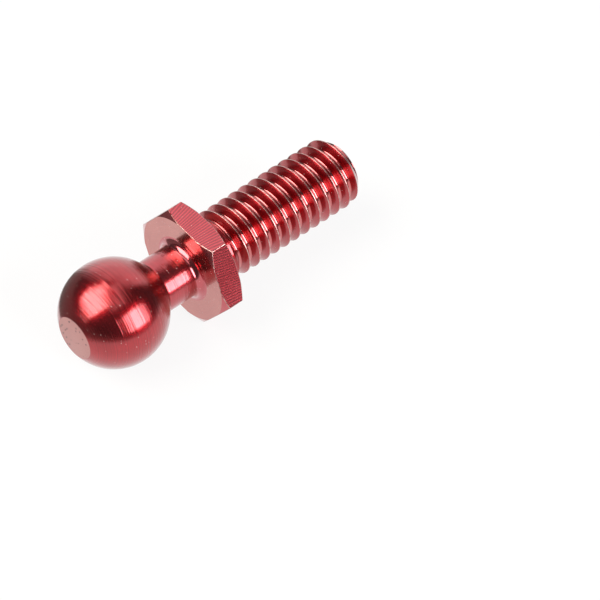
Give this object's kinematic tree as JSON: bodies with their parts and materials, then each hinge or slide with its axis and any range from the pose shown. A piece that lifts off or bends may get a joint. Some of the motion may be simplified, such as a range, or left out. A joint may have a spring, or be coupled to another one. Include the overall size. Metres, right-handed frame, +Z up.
{
  "type": "threaded ball stud",
  "caption": "Ball stud of red anodised aluminium: a ball with a flat pole on a slim neck, a hexagonal collar to turn it by and a threaded shank, for a push-on ball joint.",
  "frame": {"origin": "on the surface that the stud lies on, under the middle of its length and its axis", "axes": "+X along the stud's axis from the ball towards the shank's tip, +Z up, with one flat of the collar down"},
  "size_m": [0.0182, 0.007, 0.006],
  "materials": {
    "anodised_red": "bright turned and red anodised"
  },
  "bodies": {
    "root": {"ball_stud": "anodised_red"}
  },
  "joints": []
}
